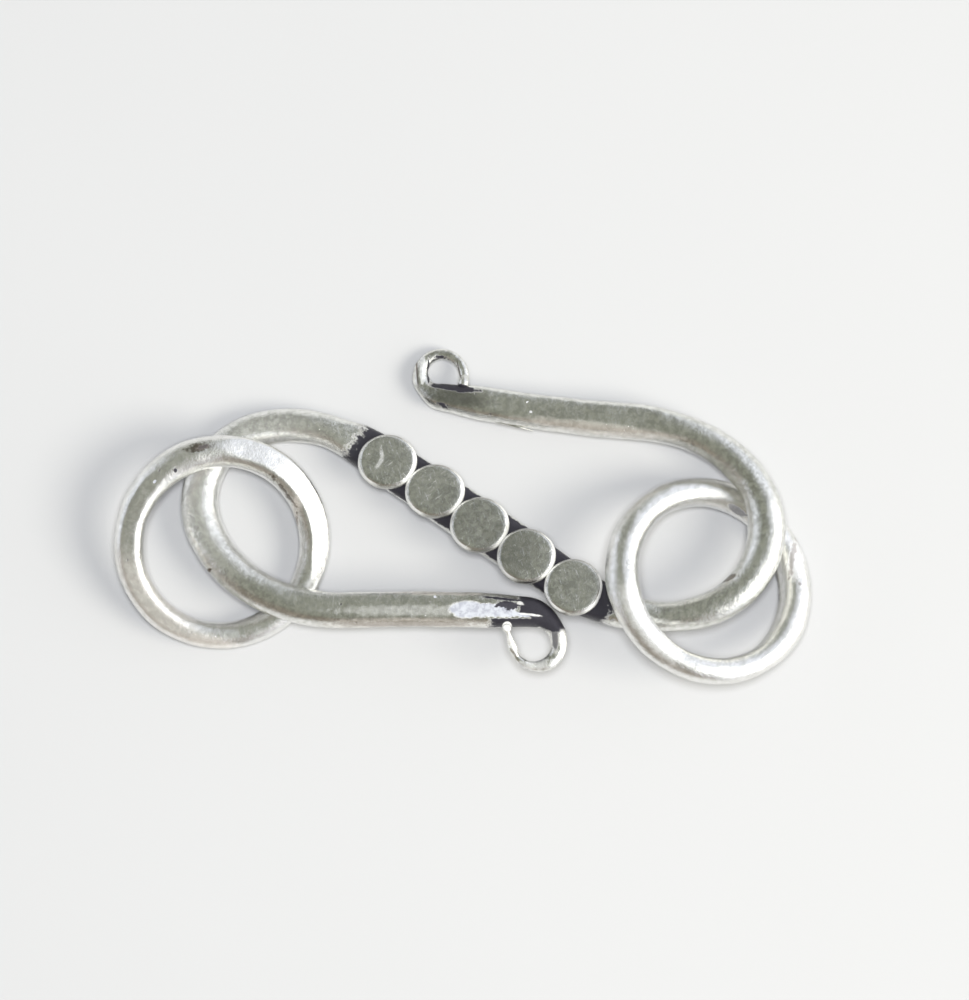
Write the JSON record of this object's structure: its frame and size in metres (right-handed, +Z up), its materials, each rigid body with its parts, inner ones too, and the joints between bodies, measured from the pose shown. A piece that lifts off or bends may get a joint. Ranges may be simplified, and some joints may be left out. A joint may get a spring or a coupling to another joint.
{
  "type": "s-hook clasp",
  "caption": "Handmade S-shaped silver hook with a row of flattened balls soldered along its bar, fastened to a closed jump ring at each end.",
  "frame": {"origin": "on the surface that the clasp lies on, under the middle of its outline", "axes": "+X along the clasp from the left ring to the right ring, +Z up, away from the surface"},
  "size_m": [0.029, 0.0142, 0.0047],
  "materials": {
    "worn_silver": "hand-polished silver with dark tarnish in the corners",
    "ring_silver": "bright hand-polished silver, a little pitted"
  },
  "bodies": {
    "root": {"s_hook": "worn_silver", "left_ring": "ring_silver", "right_ring": "ring_silver"}
  },
  "joints": []
}
